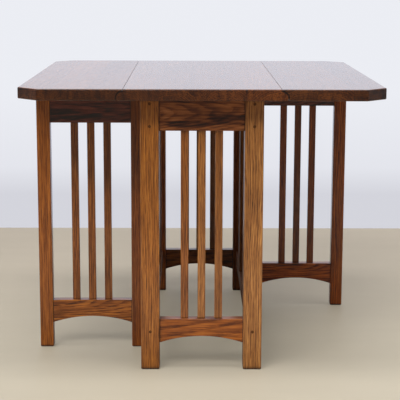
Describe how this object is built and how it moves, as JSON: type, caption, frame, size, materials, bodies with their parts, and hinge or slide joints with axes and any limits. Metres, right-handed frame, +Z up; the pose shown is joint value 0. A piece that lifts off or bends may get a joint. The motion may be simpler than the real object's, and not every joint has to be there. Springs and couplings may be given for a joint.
{
  "type": "butterfly folding table",
  "caption": "Oak gate-leg dining table with drop leaves on rule joints, slatted ends with arched rails, and slatted gates that swing out on butt hinges to carry the leaves.",
  "frame": {"origin": "on the floor under the middle of the top", "axes": "+Z up; Y runs along the seams between the boards; the leaves reach towards -X and +X, and -Y is the end that faces the viewer"},
  "size_m": [0.926, 0.99, 0.74],
  "materials": {
    "top_oak": "stained and satin lacquered",
    "post_oak": "stained and satin lacquered",
    "rail_oak": "stained and satin lacquered",
    "slat_oak": "stained and satin lacquered",
    "gate_oak": "stained and satin lacquered",
    "block_wood": "stained, unpolished",
    "hinge_brass": "dulled brass"
  },
  "bodies": {
    "frame": {"centre_top": "top_oak", "front_bottom_rail": "rail_oak", "front_left_post": "post_oak", "front_right_post": "post_oak", "front_slat_1": "slat_oak", "front_slat_2": "slat_oak", "front_slat_3": "slat_oak", "front_top_rail": "rail_oak", "left_apron": "rail_oak", "left_front_mullion": "rail_oak", "left_gate_frame_plates": "hinge_brass", "left_rear_mullion": "rail_oak", "left_seam_plates": "hinge_brass", "left_stretcher": "rail_oak", "rear_bottom_rail": "rail_oak", "rear_left_post": "post_oak", "rear_right_post": "post_oak", "rear_slat_1": "slat_oak", "rear_slat_2": "slat_oak", "rear_slat_3": "slat_oak", "rear_top_rail": "rail_oak", "right_apron": "rail_oak", "right_front_mullion": "rail_oak", "right_gate_frame_plates": "hinge_brass", "right_rear_mullion": "rail_oak", "right_seam_plates": "hinge_brass", "right_stretcher": "rail_oak", "top_buttons": "block_wood"},
    "left_leaf": {"left_gate_stop": "block_wood", "left_leaf_board": "top_oak", "left_leaf_flaps": "hinge_brass"},
    "right_leaf": {"right_gate_stop": "block_wood", "right_leaf_board": "top_oak", "right_leaf_flaps": "hinge_brass"},
    "left_gate": {"left_gate_bottom_rail": "gate_oak", "left_gate_hinge_plates": "hinge_brass", "left_gate_leg": "gate_oak", "left_gate_slat_1": "slat_oak", "left_gate_slat_2": "slat_oak", "left_gate_slat_3": "slat_oak", "left_gate_stile": "gate_oak", "left_gate_top_rail": "gate_oak"},
    "right_gate": {"right_gate_bottom_rail": "gate_oak", "right_gate_hinge_plates": "hinge_brass", "right_gate_leg": "gate_oak", "right_gate_slat_1": "slat_oak", "right_gate_slat_2": "slat_oak", "right_gate_slat_3": "slat_oak", "right_gate_stile": "gate_oak", "right_gate_top_rail": "gate_oak"}
  },
  "joints": [
    {"name": "left_gate_fold", "type": "hinge", "parent": "frame", "child": "left_gate", "pos_m": [-0.149, -0.2025, 0.381], "axis": [0, 0, -1], "range_deg": [0, 90]},
    {"name": "right_gate_fold", "type": "hinge", "parent": "frame", "child": "right_gate", "pos_m": [0.149, 0.2025, 0.381], "axis": [0, 0, -1], "range_deg": [0, 90]},
    {"name": "left_leaf_lift", "type": "hinge", "parent": "frame", "child": "left_leaf", "pos_m": [-0.197, 0, 0.718], "axis": [0, -1, 0], "range_deg": [-2, 0]},
    {"name": "right_leaf_lift", "type": "hinge", "parent": "frame", "child": "right_leaf", "pos_m": [0.197, 0, 0.718], "axis": [0, 1, 0], "range_deg": [-2, 0]}
  ]
}
